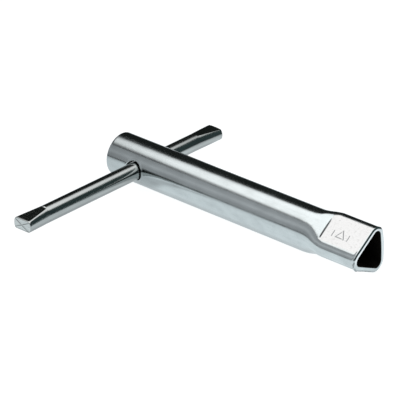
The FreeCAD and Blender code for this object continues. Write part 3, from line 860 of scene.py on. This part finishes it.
# ------------------------------------------------------------------ stage and light
def plane(name, low, high, z):
    mesh = bpy.data.meshes.new(name)
    mesh.from_pydata([(low[0], low[1], z), (high[0], low[1], z), (high[0], high[1], z), (low[0], high[1], z)],
                     [], [(0, 1, 2, 3)])
    obj = bpy.data.objects.new(name, mesh)
    bpy.context.scene.collection.objects.link(obj)
    return obj


def glossy_only(obj):
    """A card that is only there for reflections."""
    for ray in ("camera", "diffuse", "transmission", "volume_scatter", "shadow"):
        setattr(obj, "visible_" + ray, False)


def emitter(name):
    mat = bpy.data.materials.new(name)
    mat.use_nodes = True
    tree = mat.node_tree
    tree.nodes.clear()
    out = tree.nodes.new("ShaderNodeOutputMaterial")
    glow = tree.nodes.new("ShaderNodeEmission")
    tree.links.new(glow.outputs[0], out.inputs[0])
    return mat, tree, glow


def stage():
    floor_z = -0.00790
    # the plain pale floor: a lit white table
    floor = plane("floor", (-4, -4), (4, 4), floor_z)
    mat = bpy.data.materials.new("floor")
    mat.use_nodes = True
    bsdf = mat.node_tree.nodes["Principled BSDF"]
    bsdf.inputs["Base Color"].default_value = (0.55, 0.555, 0.56, 1)
    bsdf.inputs["Roughness"].default_value = 0.9
    bsdf.inputs["Specular IOR Level"].default_value = 0.0
    bsdf.inputs["Emission Color"].default_value = (1, 1, 1, 1)
    bsdf.inputs["Emission Strength"].default_value = 0.86
    floor.data.materials.append(mat)
    floor.visible_glossy = False

    # the same table as the metal sees it: bright under the tool, falling off further out
    card = plane("table_glow", (-1.5, -1.5), (1.5, 1.5), floor_z + 0.00002)
    glossy_only(card)
    mat, tree, glow = emitter("table_glow")
    link = tree.links.new
    coord = tree.nodes.new("ShaderNodeTexCoord").outputs["Object"]
    split = tree.nodes.new("ShaderNodeSeparateXYZ")
    link(coord, split.inputs[0])
    x, y = split.outputs[0], split.outputs[1]
    off_x = math_node(tree, "MAXIMUM", math_node(tree, "SUBTRACT", math_node(tree, "ABSOLUTE", math_node(tree, "ADD", x, 0.055)), 0.06), 0.0)
    front_y = math_node(tree, "MULTIPLY", math_node(tree, "MAXIMUM", math_node(tree, "SUBTRACT", math_node(tree, "MULTIPLY", y, -1.0), 0.02), 0.0), 0.62)
    back_y = math_node(tree, "MULTIPLY", math_node(tree, "MAXIMUM", math_node(tree, "SUBTRACT", y, 0.025), 0.0), 1.5)
    off_y = math_node(tree, "ADD", front_y, back_y)
    square = math_node(tree, "ADD", math_node(tree, "MULTIPLY", off_x, off_x), math_node(tree, "MULTIPLY", off_y, off_y))
    far = math_node(tree, "DIVIDE", square, 0.062 ** 2)
    level = math_node(tree, "DIVIDE", 1.0, math_node(tree, "ADD", far, 1.0))
    level = math_node(tree, "ADD", math_node(tree, "MULTIPLY", level, 1.08), 0.01)

    def between(value, low, high, soft):
        """1 between low and high, falling to 0 over soft metres outside them."""
        up = math_node(tree, "DIVIDE", math_node(tree, "SUBTRACT", value, low - soft), soft, clamp=True)
        down = math_node(tree, "DIVIDE", math_node(tree, "SUBTRACT", high + soft, value), soft, clamp=True)
        both = math_node(tree, "MULTIPLY", up, down)
        return ramp(tree, [(0.0, 0.0), (1.0, 1.0)], both, "EASE").outputs[0]

    # the tool keeps the light off the strip of table right under it
    under_tube = math_node(tree, "MULTIPLY", between(y, -0.0037, 0.0037, 0.0052), between(x, -0.106, -0.001, 0.005))
    under_bar = math_node(tree, "MULTIPLY", between(x, -0.0942 - 0.0032, -0.0942 + 0.0032, 0.0058), between(y, -0.058, 0.033, 0.005))
    under = math_node(tree, "MULTIPLY", math_node(tree, "MAXIMUM", under_tube, under_bar), 0.31)
    level = math_node(tree, "MULTIPLY", level, math_node(tree, "SUBTRACT", 1.0, under))
    glow.inputs["Color"].default_value = (0.935, 1.0, 1.035, 1)
    link(level, glow.inputs["Strength"])
    card.data.materials.append(mat)

    # overhead softbox with a soft rim, as the metal sees it; nothing but its glow is there
    height = 0.83
    box = plane("softbox", (-1.0, -1.0), (1.0, 1.1), height)
    glossy_only(box)
    mat, tree, glow = emitter("softbox")
    link = tree.links.new
    coord = tree.nodes.new("ShaderNodeTexCoord").outputs["Object"]
    split = tree.nodes.new("ShaderNodeSeparateXYZ")
    link(coord, split.inputs[0])
    dx = math_node(tree, "SUBTRACT", split.outputs[0], SOFT["cx"] * height)
    dy = math_node(tree, "MULTIPLY", math_node(tree, "SUBTRACT", split.outputs[1], SOFT["cy"] * height), 1.025)
    away = math_node(tree, "SQRT", math_node(tree, "ADD", math_node(tree, "MULTIPLY", dx, dx), math_node(tree, "MULTIPLY", dy, dy)))
    inner, outer = SOFT["inner"] * height, SOFT["outer"] * height
    lit = math_node(tree, "DIVIDE", math_node(tree, "SUBTRACT", outer, away), outer - inner, clamp=True)
    curve = ramp(tree, [(0.0, 0.0), (1.0, 1.0)], lit, "EASE").outputs[0]
    glow.inputs["Color"].default_value = (1.0, 1.0, 1.005, 1)
    glow.inputs["Strength"].default_value = SOFT["level"]
    clear = tree.nodes.new("ShaderNodeBsdfTransparent")
    blend = tree.nodes.new("ShaderNodeMixShader")
    link(curve, blend.inputs[0])
    link(clear.outputs[0], blend.inputs[1])
    link(glow.outputs[0], blend.inputs[2])
    link(blend.outputs[0], tree.nodes["Material Output"].inputs[0])
    box.data.materials.append(mat)

    # the light that falls on the table
    lamp_data = bpy.data.lights.new("overhead", "AREA")
    lamp_data.shape = "DISK"
    lamp_data.size = 2.4
    lamp_data.energy = 0.44 * math.pi * math.pi * 1.2 ** 2
    lamp = bpy.data.objects.new("overhead", lamp_data)
    lamp.location = (-0.05, 0.0, 0.9)
    bpy.context.scene.collection.objects.link(lamp)
    lamp.visible_camera = False
    lamp.visible_glossy = False

    # studio surroundings: a grey card low on the left and front, dark elsewhere
    world = bpy.data.worlds.new("studio")
    bpy.context.scene.world = world
    world.use_nodes = True
    tree = world.node_tree
    tree.nodes.clear()
    link = tree.links.new
    coord = tree.nodes.new("ShaderNodeTexCoord")
    split = tree.nodes.new("ShaderNodeSeparateXYZ")
    link(coord.outputs["Generated"], split.inputs[0])
    x, y, z = split.outputs
    flat = math_node(tree, "SQRT", math_node(tree, "ADD", math_node(tree, "MULTIPLY", x, x), math_node(tree, "MULTIPLY", y, y)))

    def toward(azimuth):
        dot = math_node(tree, "ADD", math_node(tree, "MULTIPLY", x, math.cos(RAD(azimuth))), math_node(tree, "MULTIPLY", y, math.sin(RAD(azimuth))))
        return math_node(tree, "DIVIDE", dot, math_node(tree, "MAXIMUM", flat, 1e-4))

    def el(degrees):
        return math.sin(RAD(degrees))

    # grey card, by the sine of the elevation
    card = ramp(tree, [(el(0), 0.44), (el(9), 0.445), (el(14), 0.50), (el(19), 0.60), (el(23), 0.635), (el(28), 0.56),
                       (el(34), 0.485), (el(41), 0.46), (el(43), 0.10), (1.0, 0.06)], z).outputs[0]
    on_card = ramp(tree, [((1 + math.cos(RAD(70))) / 2, 0.0), ((1 + math.cos(RAD(58))) / 2, 1.0)],
                   math_node(tree, "ADD", math_node(tree, "MULTIPLY", toward(-146), 0.5), 0.5), "EASE").outputs[0]
    # teal-black room, a little lighter on the right
    room_left = (0.014, 0.017, 0.016)
    room_right = (0.045, 0.072, 0.074)
    on_right = ramp(tree, [((1 + math.cos(RAD(80))) / 2, 0.0), ((1 + math.cos(RAD(40))) / 2, 1.0)],
                    math_node(tree, "ADD", math_node(tree, "MULTIPLY", toward(20), 0.5), 0.5), "EASE").outputs[0]
    room = mix_colour(tree, on_right, room_left, room_right)
    grey = mix_colour(tree, 1.0, card, (0.965, 1.0, 1.04), "MULTIPLY")
    shade = mix_colour(tree, on_card, room, grey)
    path = tree.nodes.new("ShaderNodeLightPath")
    shown = mix_colour(tree, path.outputs["Is Camera Ray"], shade, (1.0, 1.0, 1.0))
    background = tree.nodes.new("ShaderNodeBackground")
    link(shown, background.inputs["Color"])
    output = tree.nodes.new("ShaderNodeOutputWorld")
    link(background.outputs[0], output.inputs[0])

    view = bpy.context.scene.view_settings
    view.view_transform = "Standard"
    view.look = "None"


SOFT = {"cx": 0.050, "cy": -0.020, "inner": 0.88, "outer": 1.16, "level": 1.68}

# ------------------------------------------------------------------ build
camera()
stage()

tube = build_tube()
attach(tube, "socket_tube")
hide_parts("socket_tube")
# painted light and shade: along= darkens the tube's colour towards the rear end and lightens it towards the mouth
tube.data.materials.append(steel("tube_steel", 0, (0.500, 0.537, 0.540), 0.13, 1.0, 0.0,
                                 along=[(-0.1064, 0.84), (-0.085, 0.95), (-0.05, 1.0), (0.0, 1.10)]))

bar = build_bar()
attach(bar, "tommy_bar")
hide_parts("tommy_bar")
# painted light and shade: along= dims the bar's colour from 18 to 46 mm out on the near side and lightens it towards
# the far end
bar.data.materials.append(steel("bar_steel", 1, (0.400, 0.418, 0.412), 0.13, 0.8, 3.1,
                                along=[(-0.0598, 0.98), (-0.046, 0.93), (-0.018, 0.93), (0.012, 1.02), (0.0345, 1.05)]))
